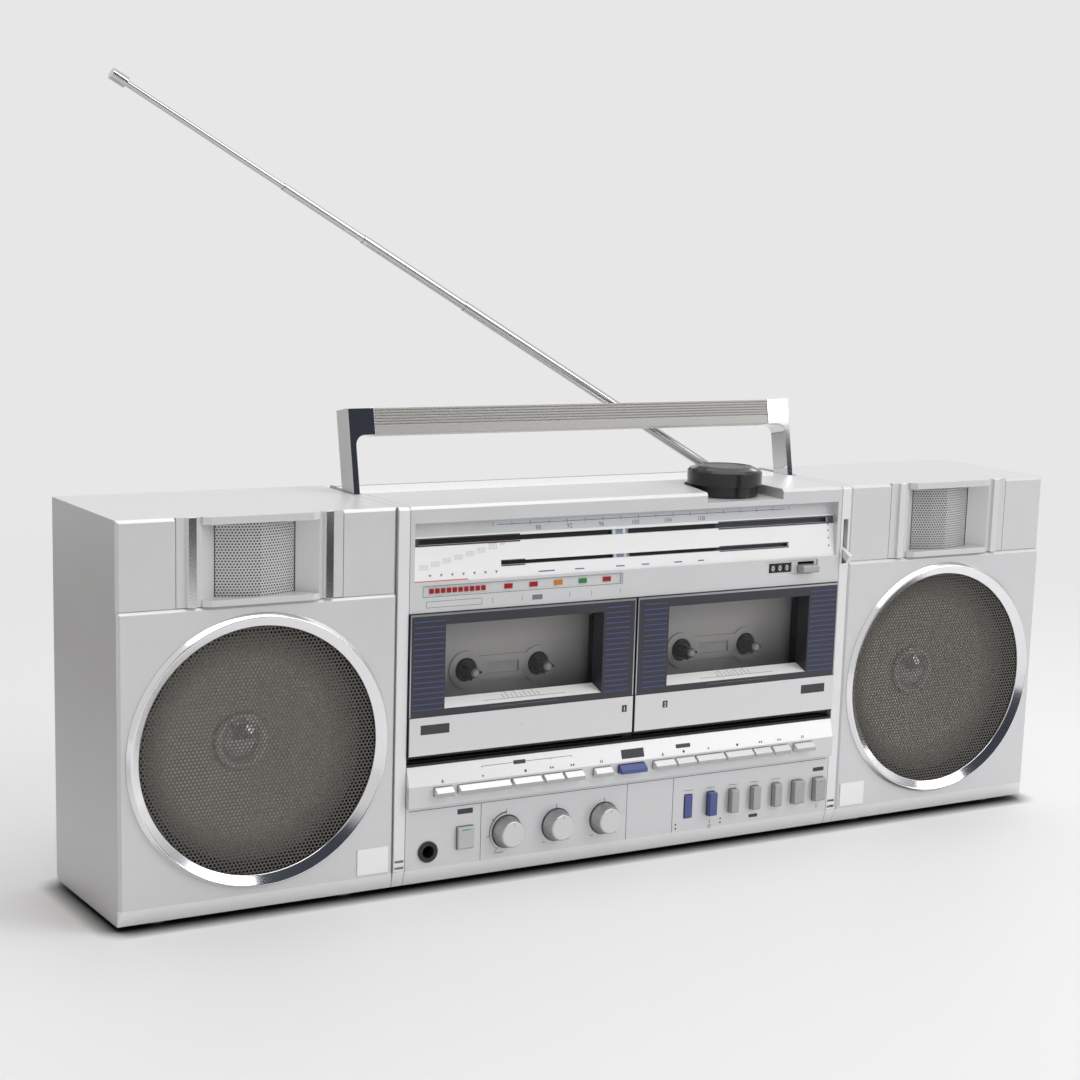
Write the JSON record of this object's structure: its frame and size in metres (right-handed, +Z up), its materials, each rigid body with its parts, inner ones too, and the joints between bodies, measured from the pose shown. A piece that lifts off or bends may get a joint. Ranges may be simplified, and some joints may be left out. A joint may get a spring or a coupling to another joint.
{
  "type": "portable radio cassette recorder",
  "caption": "Silver twin-deck portable radio cassette recorder with lift-off speaker boxes, carrying handle and telescopic aerial.",
  "frame": {"origin": "middle of the footprint on the floor, halfway between the front and back faces of the cabinet", "axes": "+X to the right as seen from the front, +Y to the back, +Z up"},
  "size_m": [0.5586, 0.098, 0.3931],
  "materials": {
    "silver_paint": "satin silver paint on moulded plastic",
    "chrome_plate": "polished plating",
    "key_silver": "satin silver",
    "key_blue": "satin blue",
    "black_gloss": "polished black",
    "black_plastic": "fine matt",
    "dial_white": "printed dial sheet",
    "pointer_grey": "satin with two white lines",
    "lamp_red": "clear coloured lenses",
    "door_dark": "dark satin with printed blue stripes",
    "smoked_window": "smoked clear plastic",
    "deck_grey": "pale grey, seen through the smoked window",
    "spindle_dark": "dark satin with a bright tip",
    "board_green": "lacquered board",
    "grille_metal": "perforated dark grille in a bright ring",
    "cone_paper": "pale paper cone in a dark surround"
  },
  "bodies": {
    "centre_unit": {"front_panel": "silver_paint", "main_cabinet": "silver_paint", "dial_scale": "dial_white", "indicator_lamps": "lamp_red", "deck_plates": "deck_grey", "circuit_board": "board_green", "headphone_jack": "black_plastic"},
    "eject_key_1": {"eject_key_1": "key_silver"},
    "play_key_1": {"play_key_1": "key_silver"},
    "stop_key_1": {"stop_key_1": "key_silver"},
    "rewind_key_1": {"rewind_key_1": "key_silver"},
    "forward_key_1": {"forward_key_1": "key_silver"},
    "pause_key_1": {"pause_key_1": "key_silver"},
    "dubbing_key": {"dubbing_key": "key_blue"},
    "eject_key_2": {"eject_key_2": "key_silver"},
    "record_key_2": {"record_key_2": "key_silver"},
    "play_key_2": {"play_key_2": "key_silver"},
    "stop_key_2": {"stop_key_2": "key_silver"},
    "rewind_key_2": {"rewind_key_2": "key_silver"},
    "forward_key_2": {"forward_key_2": "key_silver"},
    "pause_key_2": {"pause_key_2": "key_silver"},
    "dubbing_speed_switch": {"dubbing_speed_switch": "key_blue"},
    "dubbing_switch": {"dubbing_switch": "key_blue"},
    "record_mute_switch": {"record_mute_switch": "key_silver"},
    "tape_switch": {"tape_switch": "key_silver"},
    "fm_mode_switch": {"fm_mode_switch": "key_silver"},
    "function_switch": {"function_switch": "key_silver"},
    "power_switch": {"power_switch": "key_silver"},
    "memory_button": {"memory_button": "key_silver"},
    "counter_reset_button": {"counter_reset_button": "key_silver"},
    "volume_knob": {"volume_knob": "key_silver"},
    "balance_knob": {"balance_knob": "key_silver"},
    "tone_knob": {"tone_knob": "key_silver"},
    "supply_spindle_1": {"supply_spindle_1": "spindle_dark"},
    "takeup_spindle_1": {"takeup_spindle_1": "spindle_dark"},
    "supply_spindle_2": {"supply_spindle_2": "spindle_dark"},
    "takeup_spindle_2": {"takeup_spindle_2": "spindle_dark"},
    "tuning_knob": {"tuning_knob": "black_gloss"},
    "dial_pointer": {"dial_pointer": "pointer_grey"},
    "band_lever": {"band_lever": "chrome_plate"},
    "door_1": {"cassette_door_1": "door_dark", "door_window_1": "smoked_window"},
    "door_2": {"cassette_door_2": "door_dark", "door_window_2": "smoked_window"},
    "carrying_handle": {"carrying_handle": "chrome_plate"},
    "aerial_knuckle": {"aerial_knuckle": "chrome_plate"},
    "aerial_tube_1": {"aerial_tube_1": "chrome_plate"},
    "aerial_tube_2": {"aerial_tube_2": "chrome_plate"},
    "aerial_tube_3": {"aerial_tube_3": "chrome_plate"},
    "aerial_tip": {"aerial_tip": "chrome_plate"},
    "speaker_left": {"speaker_box_left": "silver_paint", "speaker_front_left": "silver_paint", "woofer_grille_left": "grille_metal", "woofer_left": "cone_paper", "tweeter_left": "silver_paint"},
    "speaker_right": {"speaker_box_right": "silver_paint", "speaker_front_right": "silver_paint", "woofer_grille_right": "grille_metal", "woofer_right": "cone_paper", "tweeter_right": "silver_paint"}
  },
  "joints": [
    {"name": "door_1_tip", "type": "hinge", "parent": "centre_unit", "child": "door_1", "pos_m": [-0.066, -0.0378, 0.0678], "axis": [1, 0, 0], "range_deg": [0, 25]},
    {"name": "door_2_tip", "type": "hinge", "parent": "centre_unit", "child": "door_2", "pos_m": [0.066, -0.0378, 0.0678], "axis": [1, 0, 0], "range_deg": [0, 25]},
    {"name": "handle_lean", "type": "hinge", "parent": "centre_unit", "child": "carrying_handle", "pos_m": [0, 0.0123, 0.1805], "axis": [1, 0, 0], "range_deg": [-8, 11]},
    {"name": "aerial_swivel", "type": "hinge", "parent": "centre_unit", "child": "aerial_knuckle", "pos_m": [0.114, 0.0415, 0.1875], "axis": [0, 0, 1], "range_deg": [-150, 0]},
    {"name": "aerial_tilt", "type": "hinge", "parent": "aerial_knuckle", "child": "aerial_tube_1", "pos_m": [0.114, 0.0415, 0.1875], "axis": [0, 1, 0], "range_deg": [-27, 60]},
    {"name": "aerial_draw_2", "type": "slide", "parent": "aerial_tube_1", "child": "aerial_tube_2", "axis": [-0.8724, 0, 0.4888], "range_m": [-0.067, 0.1]},
    {"name": "aerial_draw_3", "type": "slide", "parent": "aerial_tube_2", "child": "aerial_tube_3", "axis": [-0.8724, 0, 0.4888], "range_m": [-0.05, 0.11]},
    {"name": "aerial_draw_4", "type": "slide", "parent": "aerial_tube_3", "child": "aerial_tip", "axis": [-0.8724, 0, 0.4888], "range_m": [-0.092, 0.06]},
    {"name": "speaker_left_lift", "type": "slide", "parent": "centre_unit", "child": "speaker_left", "axis": [0, 0, 1], "range_m": [0, 0.1]},
    {"name": "speaker_right_lift", "type": "slide", "parent": "centre_unit", "child": "speaker_right", "axis": [0, 0, 1], "range_m": [0, 0.1]},
    {"name": "band_lever_swing", "type": "hinge", "parent": "centre_unit", "child": "band_lever", "pos_m": [0.135, -0.031, 0.1622], "axis": [1, 0, 0], "range_deg": [-54, 0]},
    {"name": "tuning_knob_turn", "type": "hinge", "parent": "centre_unit", "child": "tuning_knob", "pos_m": [0.0709, -0.0182, 0.19], "axis": [0, 0, 1], "range_deg": [-595, 493]},
    {"name": "dial_pointer_travel", "type": "slide", "parent": "centre_unit", "child": "dial_pointer", "axis": [1, 0, 0], "range_m": [-0.0952, 0.1148]},
    {"name": "counter_reset_press", "type": "slide", "parent": "centre_unit", "child": "counter_reset_button", "axis": [0, 1, 0], "range_m": [0, 0.002], "stiffness_N_per_m": 300},
    {"name": "memory_button_press", "type": "slide", "parent": "centre_unit", "child": "memory_button", "axis": [0, 1, 0], "range_m": [0, 0.0015], "stiffness_N_per_m": 300},
    {"name": "volume_knob_turn", "type": "hinge", "parent": "centre_unit", "child": "volume_knob", "pos_m": [-0.0738, -0.044, 0.024], "axis": [0, -1, 0], "range_deg": [-150, 150]},
    {"name": "balance_knob_turn", "type": "hinge", "parent": "centre_unit", "child": "balance_knob", "pos_m": [-0.0444, -0.044, 0.024], "axis": [0, -1, 0], "range_deg": [-150, 150]},
    {"name": "tone_knob_turn", "type": "hinge", "parent": "centre_unit", "child": "tone_knob", "pos_m": [-0.0154, -0.044, 0.024], "axis": [0, -1, 0], "range_deg": [-150, 150]},
    {"name": "supply_spindle_1_spin", "type": "hinge", "parent": "centre_unit", "child": "supply_spindle_1", "pos_m": [-0.08725, -0.021, 0.1047], "axis": [0, -1, 0], "continuous": true},
    {"name": "takeup_spindle_1_spin", "type": "hinge", "parent": "centre_unit", "child": "takeup_spindle_1", "pos_m": [-0.04475, -0.021, 0.1047], "axis": [0, -1, 0], "continuous": true},
    {"name": "supply_spindle_2_spin", "type": "hinge", "parent": "centre_unit", "child": "supply_spindle_2", "pos_m": [0.04475, -0.021, 0.1047], "axis": [0, -1, 0], "continuous": true},
    {"name": "takeup_spindle_2_spin", "type": "hinge", "parent": "centre_unit", "child": "takeup_spindle_2", "pos_m": [0.08725, -0.021, 0.1047], "axis": [0, -1, 0], "continuous": true},
    {"name": "dubbing_speed_switch_push", "type": "slide", "parent": "centre_unit", "child": "dubbing_speed_switch", "axis": [0, 1, 0], "range_m": [-0.0027, 0]},
    {"name": "dubbing_switch_push", "type": "slide", "parent": "centre_unit", "child": "dubbing_switch", "axis": [0, 1, 0], "range_m": [0, 0.0027]},
    {"name": "record_mute_switch_push", "type": "slide", "parent": "centre_unit", "child": "record_mute_switch", "axis": [0, 1, 0], "range_m": [0, 0.0027]},
    {"name": "tape_switch_push", "type": "slide", "parent": "centre_unit", "child": "tape_switch", "axis": [0, 1, 0], "range_m": [0, 0.0027]},
    {"name": "fm_mode_switch_push", "type": "slide", "parent": "centre_unit", "child": "fm_mode_switch", "axis": [0, 1, 0], "range_m": [0, 0.0027]},
    {"name": "function_switch_push", "type": "slide", "parent": "centre_unit", "child": "function_switch", "axis": [0, 1, 0], "range_m": [0, 0.0027]},
    {"name": "power_switch_push", "type": "slide", "parent": "centre_unit", "child": "power_switch", "axis": [0, 1, 0], "range_m": [0, 0.0027]},
    {"name": "eject_key_1_press", "type": "slide", "parent": "centre_unit", "child": "eject_key_1", "axis": [0, 1, 0], "range_m": [0, 0.0035], "stiffness_N_per_m": 300},
    {"name": "play_key_1_press", "type": "slide", "parent": "centre_unit", "child": "play_key_1", "axis": [0, 1, 0], "range_m": [0, 0.0035], "stiffness_N_per_m": 300},
    {"name": "stop_key_1_press", "type": "slide", "parent": "centre_unit", "child": "stop_key_1", "axis": [0, 1, 0], "range_m": [0, 0.0035], "stiffness_N_per_m": 300},
    {"name": "rewind_key_1_press", "type": "slide", "parent": "centre_unit", "child": "rewind_key_1", "axis": [0, 1, 0], "range_m": [0, 0.0035], "stiffness_N_per_m": 300},
    {"name": "forward_key_1_press", "type": "slide", "parent": "centre_unit", "child": "forward_key_1", "axis": [0, 1, 0], "range_m": [0, 0.0035], "stiffness_N_per_m": 300},
    {"name": "pause_key_1_press", "type": "slide", "parent": "centre_unit", "child": "pause_key_1", "axis": [0, 1, 0], "range_m": [0, 0.0035], "stiffness_N_per_m": 300},
    {"name": "dubbing_key_press", "type": "slide", "parent": "centre_unit", "child": "dubbing_key", "axis": [0, 1, 0], "range_m": [0, 0.0035], "stiffness_N_per_m": 300},
    {"name": "eject_key_2_press", "type": "slide", "parent": "centre_unit", "child": "eject_key_2", "axis": [0, 1, 0], "range_m": [0, 0.0035], "stiffness_N_per_m": 300},
    {"name": "record_key_2_press", "type": "slide", "parent": "centre_unit", "child": "record_key_2", "axis": [0, 1, 0], "range_m": [0, 0.0035], "stiffness_N_per_m": 300},
    {"name": "play_key_2_press", "type": "slide", "parent": "centre_unit", "child": "play_key_2", "axis": [0, 1, 0], "range_m": [0, 0.0035], "stiffness_N_per_m": 300},
    {"name": "stop_key_2_press", "type": "slide", "parent": "centre_unit", "child": "stop_key_2", "axis": [0, 1, 0], "range_m": [0, 0.0035], "stiffness_N_per_m": 300},
    {"name": "rewind_key_2_press", "type": "slide", "parent": "centre_unit", "child": "rewind_key_2", "axis": [0, 1, 0], "range_m": [0, 0.0035], "stiffness_N_per_m": 300},
    {"name": "forward_key_2_press", "type": "slide", "parent": "centre_unit", "child": "forward_key_2", "axis": [0, 1, 0], "range_m": [0, 0.0035], "stiffness_N_per_m": 300},
    {"name": "pause_key_2_press", "type": "slide", "parent": "centre_unit", "child": "pause_key_2", "axis": [0, 1, 0], "range_m": [0, 0.0035], "stiffness_N_per_m": 300}
  ],
  "couplings": [
    {"joint": "dial_pointer_travel", "follows": "tuning_knob_turn", "m_per_rad": -0.011}
  ]
}
